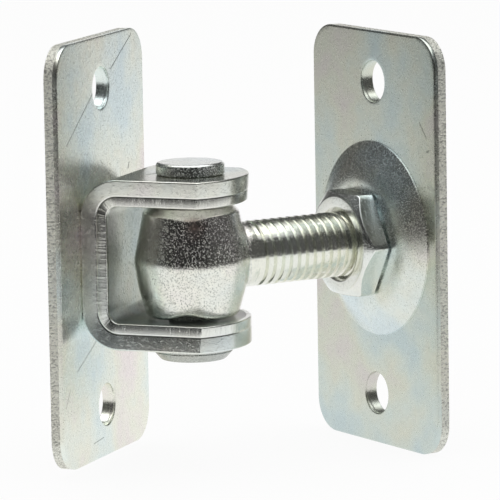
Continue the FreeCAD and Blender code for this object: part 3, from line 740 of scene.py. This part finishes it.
seat = PLATE_ALONG - DOME_HEIGHT
for name, body, first, last, foot in (
        ("lock_nut", "front_nut", seat - LOCK_THICK, seat - SEAT_GAP, LOCK_FOOT),
        ("rear_nut", "back_nut", seat + PLATE_THICK + SEAT_GAP, BOLT_END, REAR_FOOT)):
    nut = finished(name + "_zinc", nut_shape(first, last - first, foot), [nut_zinc])
    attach(nut, body)
    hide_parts(name)

# The studio: a white table that runs far back behind the object and ends a little in front of it and beside it, one
# soft lamp overhead, a low white sweep behind, a white ceiling, and a dim room that is darkest in front. The bright
# metal shows the room as its dark bands.
FLOOR_LEVEL = cad_box[0][2]
FLOOR_AHEAD, FLOOR_BEHIND, FLOOR_LEFT, FLOOR_RIGHT, FLOOR_WIDER = 0.19, 1.1, 0.9, 0.22, 1.0
FLOOR_WHITE, FLOOR_MIRRORED, FLOOR_FADE, FADE_START, FADE_END = 0.93, 0.85, 0.8, -0.08, 0.5
VIEW_TURN, VIEW_TILT, VIEW_ROLL = math.radians(20.689), math.radians(8.445), math.radians(-0.965)
VIEW_DISTANCE, VIEW_RIGHT, VIEW_UP = 1.040951, 12.317 * MM, -0.193 * MM
FOCAL_PIXELS, IMAGE_PIXELS, SENSOR = 4924.69, 500, 36.0
CLIP_NEAR, CLIP_FAR = 0.05, 20
LAMP_LEVEL, LAMP_BEHIND, LAMP_WIDTH, LAMP_DEPTH, LAMP_POWER = 0.95, 0.1, 1.2, 0.95, 3.0
ROOM_DIM, FRONT_DARK, SWEEP_BRIGHT, CEILING_BRIGHT, FILL_BRIGHT = 0.08, 0.055, 0.9, 0.88, 0.7
SWEEP_TURN = math.radians(8)
SWEEP_EDGE, SWEEP_TOP, FRONT_EDGE = (0.84, 0.95), (0.18, 0.36), (0.45, 0.85)
CEILING_EDGE, CEILING_LEAN = (0.72, 0.82), 0.05
TABLE_COLOUR = (0.85, 0.85, 0.84, 1)

back = Vector((math.sin(VIEW_TURN) * math.cos(VIEW_TILT), -math.cos(VIEW_TURN) * math.cos(VIEW_TILT),
               math.sin(VIEW_TILT)))
right = Vector((math.cos(VIEW_TURN), math.sin(VIEW_TURN), 0))
above = back.cross(right)
eye_point = pin_axis + back * VIEW_DISTANCE + right * VIEW_RIGHT + above * VIEW_UP
camera_right = right * math.cos(VIEW_ROLL) + above * math.sin(VIEW_ROLL)
camera_up = above * math.cos(VIEW_ROLL) - right * math.sin(VIEW_ROLL)
camera_data = bpy.data.cameras.new("photo_camera")
camera_data.sensor_width = SENSOR
camera_data.lens = FOCAL_PIXELS / IMAGE_PIXELS * SENSOR
camera_data.clip_start, camera_data.clip_end = CLIP_NEAR, CLIP_FAR
camera = bpy.data.objects.new("photo_camera", camera_data)
camera.matrix_world = Matrix.Translation(eye_point) @ Matrix((camera_right, camera_up, back)).transposed().to_4x4()
bpy.context.collection.objects.link(camera)
bpy.context.scene.camera = camera

forward = Vector((-back.x, -back.y, 0)).normalized()
centre = pin_axis + UP * (FLOOR_LEVEL - pin_axis.z)
table = bmesh.new()
table.faces.new([table.verts.new(centre + forward * far + right * aside) for far, aside in (
    (-FLOOR_AHEAD, -FLOOR_LEFT), (-FLOOR_AHEAD, FLOOR_RIGHT),
    (FLOOR_BEHIND, FLOOR_WIDER), (FLOOR_BEHIND, -FLOOR_LEFT))])
table_mesh = bpy.data.meshes.new("table")
table.to_mesh(table_mesh)
table.free()
floor = bpy.data.objects.new("table", table_mesh)
bpy.context.collection.objects.link(floor)

white = bpy.data.materials.new("white_table")
white.use_nodes = True
tree = white.node_tree
tree.nodes.clear()
start = Tone(tree)
rays = start.node("ShaderNodeLightPath").socket.node.outputs
mirrored = Tone(tree, rays["Is Glossy Ray"]) + Tone(tree, rays["Is Transmission Ray"])
spot = start.node("ShaderNodeTexCoord", out=3)
aside = spot.vector("DOT_PRODUCT", spot, -right, out=1)
faded = FLOOR_MIRRORED - aside.between(FADE_START, FADE_END) * FLOOR_FADE
matt = start.node("ShaderNodeBsdfDiffuse", {}, {"Color": TABLE_COLOUR})
glow = start.node("ShaderNodeEmission", {}, {"Color": (1, 1, 1, 1), "Strength": 1.0})
lit = start.node("ShaderNodeMixShader", {}, {
    0: Tone(tree, rays["Is Camera Ray"]) * FLOOR_WHITE + mirrored * faded, 1: matt, 2: glow})
lit.into(tree.nodes.new("ShaderNodeOutputMaterial"), "Surface")
table_mesh.materials.append(white)

lamp_data = bpy.data.lights.new("overhead_softbox", "AREA")
lamp_data.shape, lamp_data.size, lamp_data.size_y = "RECTANGLE", LAMP_WIDTH, LAMP_DEPTH
lamp_data.energy = LAMP_POWER
lamp = bpy.data.objects.new("overhead_softbox", lamp_data)
lamp.matrix_world = Matrix.Translation(centre + UP * LAMP_LEVEL + forward * LAMP_BEHIND)
bpy.context.collection.objects.link(lamp)

world = bpy.data.worlds.new("studio")
world.use_nodes = True
bpy.context.scene.world = world
tree = world.node_tree
tree.nodes.clear()
start = Tone(tree)
rays = start.node("ShaderNodeLightPath").socket.node.outputs
direction = start.node("ShaderNodeTexCoord", out=0)
sweep_way = forward * math.cos(SWEEP_TURN) + right * math.sin(SWEEP_TURN)
ahead = direction.vector("DOT_PRODUCT", direction, sweep_way, out=1)
lift = direction.vector("DOT_PRODUCT", direction, UP, out=1)
sweep = ahead.between(*SWEEP_EDGE) * (1 - lift.between(*SWEEP_TOP))
beside = direction.vector("DOT_PRODUCT", direction, right, out=1)
ceiling = (lift + beside * CEILING_LEAN).between(*CEILING_EDGE)
dim = ROOM_DIM - (0 - ahead).between(*FRONT_EDGE) * FRONT_DARK
room = dim + sweep * SWEEP_BRIGHT + ceiling * CEILING_BRIGHT
mirrored = Tone(tree, rays["Is Glossy Ray"]) + Tone(tree, rays["Is Transmission Ray"])
seen = Tone(tree, rays["Is Camera Ray"])
filled = 1 - seen.math("MINIMUM", seen + mirrored, 1.0)
strength = seen + mirrored * room + filled * FILL_BRIGHT
sky = start.node("ShaderNodeBackground", {}, {"Color": (1, 1, 1, 1), "Strength": strength})
sky.into(tree.nodes.new("ShaderNodeOutputWorld"), "Surface")

bpy.context.scene.view_settings.view_transform = "Standard"
